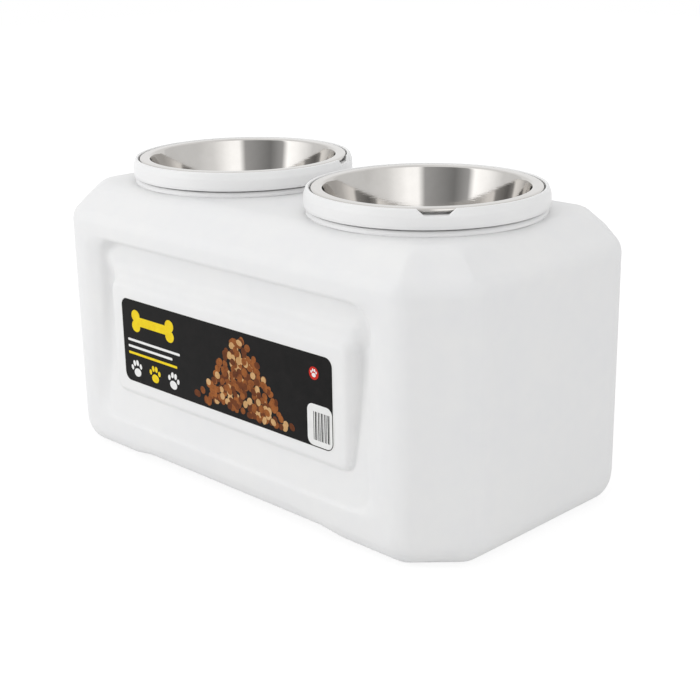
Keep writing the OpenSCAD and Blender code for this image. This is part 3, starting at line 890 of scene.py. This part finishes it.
# %% Lid outline
LID_THREAD_LOW, LID_THREAD_HIGH = 301.5, 322
lid_outline = cut_long(outline([
    (0.0, 276.1, 0), (97.3, 276.1, 5.0), (113.3, 301.0, 6.0), (113.3, 348.6, 1.0), (116.3, 348.6, 1.0),
    (116.3, 343.3, 0.8), (124.8, 343.3, 0.8), (124.8, 350.0, 1.5), (128.1, 350.0, 2.2), (131.0, 342.0, 9.0),
    (131.0, 333.0, 6.0), (130.3, 329.3, 1.0), (128.0, 329.3, 0.5), (128.0, 340.3, 0.8), (125.8, 340.3, 0.8),
    (125.8, 329.3, 0.3), (124.8, 329.3, 0.3), (124.8, 332.9, 0.2), (121.2, 332.9, 0.2), (121.2, 329.3, 0.3),
    (120.2, 329.3, 0.3), (120.2, 340.3, 1.0), (116.3, 340.3, 1.0), (116.3, 321.5, 0), (116.3, 302.5, 0),
    (116.3, 301.0, 4.0), (100.3, 273.1, 4.0), (0.0, 273.1, 0)]),
    0.7, lambda r, z: (115 < r < 117 and LID_THREAD_LOW < z < LID_THREAD_HIGH) or (r > 124.5 and z > 340))
print("the lid's outline has", len(lid_outline), "points")

# %% [markdown]
# ## Notch and thread
# A finger reaches the bowl's rim through a notch in the ring. The notch isn't cut: where it passes, the upper
# part of the ring is pressed down, which keeps its lip round, as the mould makes it. Round the cup's side, the
# same bend pushes the thread's ridges out.

# %% Lid bend
NOTCH_BASE, NOTCH_FLOOR, CHANNEL_CAP = 341.0, 343.6, 343.35
NOTCH_TOP_HALF, NOTCH_BOTTOM_HALF = 20.0, 12.5
RING_RADIUS = 128
THREAD_ROOT, RIDGE_RISE, RIDGE_LOW, RIDGE_HIGH = 0.5, 1.9, 303, 321
NOTCH_SPAN, NOTCH_STEPS, REST_STEPS = math.radians(11), 80, 216


def lid_bend(notch_angle):
    def bend(r, z, angle):
        across = np.mod(angle - math.radians(notch_angle) + math.pi, 2 * math.pi) - math.pi
        across = np.abs(across) * RING_RADIUS
        rise = np.clip((across - NOTCH_BOTTOM_HALF) / (NOTCH_TOP_HALF - NOTCH_BOTTOM_HALF), 0, 1)
        limit = NOTCH_FLOOR + rise * (LID_TOP - NOTCH_FLOOR)
        in_ring = (r > 124) & (z > NOTCH_BASE)
        pressed = NOTCH_BASE + (z - NOTCH_BASE) * (limit - NOTCH_BASE) / (LID_TOP - NOTCH_BASE)
        on_thread = (r > 115) & (r < 117) & (z > LID_THREAD_LOW) & (z < LID_THREAD_HIGH)
        out = THREAD_ROOT + RIDGE_RISE * ridge(z, angle, RIDGE_LOW, RIDGE_HIGH)
        r = np.where(on_thread, r + out, r)
        return r, np.where(in_ring, np.maximum(pressed, np.minimum(z, CHANNEL_CAP)), z)
    return bend


def notched_turn(notch_angle):
    """Angles round the lid, close together where the notch is."""
    fine = np.linspace(-NOTCH_SPAN, NOTCH_SPAN, NOTCH_STEPS)
    rest = np.linspace(NOTCH_SPAN, 2 * math.pi - NOTCH_SPAN, REST_STEPS)[1:-1]
    return math.radians(notch_angle) + np.concatenate([fine, rest])


print("the notch is", 2 * NOTCH_TOP_HALF, "mm wide at the top")

# %% [markdown]
# ## Lids
# Both lids share the outline. Only the notch's place differs, because each lid stops where its thread grips.

# %% Lids
for side, x in OPENING_X.items():
    name, notch = side + "_screw_lid", NOTCH_ANGLE[side]
    mesh = sweep(name, lid_outline, notched_turn(notch), lid_bend(notch))
    new_piece(name, mesh, lid_plastic, side + "_lid", "lid_plastic", side + "_lid", at=(x * MM, 0, 0))
    paint_seal(side + "_lid_seal")

# %% [markdown]
# ## Bowl outline
# The rim of a spun bowl is flared out flat and then curled under into a bead, so that no raw edge is left.
# The outline goes down the inside, round the curl and back along the outside, 0.8 mm away. Its long runs are
# cut short, because smooth shading over a long face would bend the reflections.

# %% Bowl outline
STEEL = 0.8
BOWL_FLOOR = BOWL_TOP - 70.0
BEAD_AT, BEAD_RADIUS = 121.2, 2.15


def curl(radius, start, end, steps=14):
    """Points on an arc round the middle of the bead, with angles in degrees."""
    turns = np.radians(np.linspace(start, end, steps))
    return [(BEAD_AT + radius * math.cos(t), BOWL_TOP - BEAD_RADIUS + radius * math.sin(t)) for t in turns]


inside = outline([(0, BOWL_FLOOR, 0), (96.0, BOWL_FLOOR, 30.0), (111.0, BOWL_TOP, 2.6), (BEAD_AT, BOWL_TOP, 0)])
outside = outline([(BEAD_AT, BOWL_TOP - STEEL, 0), (111.7, BOWL_TOP - STEEL, 1.6),
                   (96.7, BOWL_FLOOR - STEEL, 30.8), (0, BOWL_FLOOR - STEEL, 0)])
curled = [*curl(BEAD_RADIUS, 90, -180), *curl(BEAD_RADIUS - STEEL, -180, 90)[:-1]]
bowl_outline = cut_long(np.array([*inside[:-1], *curled, *outside[1:]]), 2.5, lambda r, z: r > 1)
print("the bowl's outline has", len(bowl_outline), "points")

# %% [markdown]
# ## Bowls
# The bowls are plain turned shapes. Each rides on a body of its own, so it can lift out of its lid.

# %% Bowls
for side, x in OPENING_X.items():
    name = side + "_steel_bowl"
    mesh = sweep(name, bowl_outline, even_turn(TURN_STEPS))
    new_piece(name, mesh, steel, side + "_bowl", "bowl_steel", side + "_bowl", at=(x * MM, 0, 0))

# %% [markdown]
# ## Label
# The label is a film on the raised panel. Its ground is black with a thin white edge, and a bone, paw marks, a
# heap of kibble and plain bars fill it. Each shape is a hair-thin plate on the film, so that its outline stays
# sharp however near the camera comes.

# %% Label shapes
FILM, BORDER, INK_LIFT = 0.3, 1.4, 0.015
LABEL_FACE = -HALF_WIDTH + PANEL_DEPTH - FILM
LABEL_LOW, LABEL_HIGH, LABEL_CORNER = (-176.0, 101.0), (176.0, 204.0), 11


def rounded_box(x0, z0, x1, z1, radius, steps=10):
    ring = []
    for cx, cz, start in ((x1 - radius, z0 + radius, -90), (x1 - radius, z1 - radius, 0),
                          (x0 + radius, z1 - radius, 90), (x0 + radius, z0 + radius, 180)):
        turns = np.radians(np.linspace(start, start + 90, steps))
        ring += [(cx + radius * math.cos(t), cz + radius * math.sin(t)) for t in turns]
    return ring


def oval(cx, cz, rx, rz, turn=0, steps=28):
    c, s = math.cos(math.radians(turn)), math.sin(math.radians(turn))
    spots = [(rx * math.cos(t), rz * math.sin(t)) for t in even_turn(steps)]
    return [(cx + c * a - s * b, cz + s * a + c * b) for a, b in spots]


class Print:
    """Collects thin plates for one label mesh."""

    def __init__(self):
        self.points, self.faces, self.inks = [], [], []

    def plate(self, ring, front, back, ink):
        start, count = len(self.points), len(ring)
        self.points += [(x, front, z) for x, z in ring] + [(x, back, z) for x, z in ring]
        near = range(start, start + count)
        self.faces += [list(near), [i + count for i in reversed(near)]]
        self.faces += [[i, i + count, j + count, j] for i, j in zip(near, [*near[1:], start])]
        self.inks += [ink] * (count + 2)


art = Print()
art.plate(rounded_box(*LABEL_LOW, *LABEL_HIGH, LABEL_CORNER), LABEL_FACE, LABEL_FACE + FILM, "ink_white")
ground = [c + BORDER for c in LABEL_LOW] + [c - BORDER for c in LABEL_HIGH]
art.plate(rounded_box(*ground, 9.8), LABEL_FACE - INK_LIFT, LABEL_FACE, "ink_black")
print("the film is", LABEL_HIGH[0] - LABEL_LOW[0], "by", LABEL_HIGH[1] - LABEL_LOW[1], "mm")

# %% [markdown]
# ### Signs
# A mark puts one shape in one ink on the label. Its level says how far it stands above the ground, so that no
# two shapes share a plane. A bone is a bar with four ovals, and a paw is five ovals.

# %% Bone and paw
INK_LEVEL, LEVEL_STEP, INK_THICKNESS = LABEL_FACE - 2 * INK_LIFT, 0.01, 0.005
PAW = ((0, -0.18, 0.34, 0.27), (-0.42, 0.18, 0.12, 0.17), (-0.15, 0.42, 0.13, 0.19),
       (0.15, 0.42, 0.13, 0.19), (0.42, 0.18, 0.12, 0.17))


def mark(ring, ink, level=0):
    front = INK_LEVEL - LEVEL_STEP * level
    art.plate(ring, front, front + INK_THICKNESS, ink)


def bone(cx, cz, length, size, ink):
    mark(rounded_box(cx - length / 2, cz - size * 0.32, cx + length / 2, cz + size * 0.32, size * 0.1), ink)
    for i, (dx, dz) in enumerate(((-1, -1), (-1, 1), (1, -1), (1, 1))):
        mark(oval(cx + dx * length / 2, cz + dz * size * 0.36, size * 0.45, size * 0.42), ink, 0.3 + 0.2 * i)


def paw(cx, cz, size, ink, turn=0, level=0):
    c, s = math.cos(math.radians(turn)), math.sin(math.radians(turn))
    for dx, dz, rx, rz in PAW:
        x, z = cx + size * (c * dx - s * dz), cz + size * (s * dx + c * dz)
        mark(oval(x, z, size * rx, size * rz, turn), ink, level)


print("a paw has", len(PAW), "ovals")

# %% [markdown]
# ### Signs on the label
# The bone, the bars and three paws go to the left, and a red disc with a white paw to the upper right.

# %% Put the signs on the label
BARS = ((96, "ink_white"), (82, "ink_white"), (90, "ink_yellow"))
BAR_LEFT, BAR_LOW, BAR_HIGH, BAR_STEP = -166, 152, 155, 8
PAW_INKS = ("ink_white", "ink_yellow", "ink_white")

bone(-118, 178, 62, 17, "ink_yellow")
for row, (width, ink) in enumerate(BARS):
    low, high = BAR_LOW - BAR_STEP * row, BAR_HIGH - BAR_STEP * row
    mark(rounded_box(BAR_LEFT, low, BAR_LEFT + width, high, 1.2), ink)
for i, ink in enumerate(PAW_INKS):
    paw(-152 + 34 * i, 118, 19, ink, 12 - 10 * i)
mark(oval(148, 182, 7, 7), "ink_red")
paw(148, 181.6, 8.5, "ink_white", level=1)
print("faces so far:", len(art.faces))

# %% [markdown]
# ### Kibble and tag
# The heap of kibble falls by chance, most of it near the middle. A plain tag with bars hides its right end.

# %% Put the kibble and the tag on the label
KIBBLES, HEAP_MIDDLE, HEAP_HALF, HEAP_FOOT, HEAP_HEIGHT = 260, 34, 72, 110, 84
TAG, TAG_BARS, BAR_WIDTHS = (137, 103.6, 173.4, 149), 11, (0.9, 1.7, 0.7, 1.3)
random = np.random.default_rng(4)
for i in range(KIBBLES):
    spread = random.normal(0, 0.42)
    cx = HEAP_MIDDLE + HEAP_HALF * np.clip(spread, -1.1, 1.1)
    cz = HEAP_FOOT + random.random() * HEAP_HEIGHT * math.exp(-2.0 * spread * spread)
    ink = random.choice(["ink_brown", "ink_bark", "ink_tan"], p=[0.5, 0.3, 0.2])
    long, short, turn = random.uniform(3.6, 5), random.uniform(3.2, 4.6), random.uniform(0, 180)
    mark(oval(cx, cz, long, short, turn, 16), ink, 0.013 * i)
mark(rounded_box(*TAG, 8), "ink_white", 3.5)
for i in range(TAG_BARS):
    left = 146 + 2.3 * i
    mark(rounded_box(left, 110, left + BAR_WIDTHS[i % len(BAR_WIDTHS)], 141, 0.2, 3), "ink_black", 4.2)
print("shapes on the label:", KIBBLES, "kibbles and", TAG_BARS, "bars on the tag")

# %% [markdown]
# ### The label as a piece
# All plates go into one mesh. Each ink is a material of that mesh, and each face says which ink it has.

# %% Build the label
label_mesh = bpy.data.meshes.new("label")
label_mesh.from_pydata([tuple(MM * c for c in p) for p in art.points], [], art.faces)
label = new_piece("printed_label", label_mesh, inks["ink_white"], "bin", "label_film", "front_label")
label_mesh.materials.clear()
for ink in inks.values():
    label_mesh.materials.append(ink)
order = list(inks)
label_mesh.polygons.foreach_set("material_index", [order.index(i) for i in art.inks])
work = bmesh.new()
work.from_mesh(label_mesh)
finish_mesh(work, label_mesh, smooth=False)
print(label.name, "has", len(art.faces), "faces")
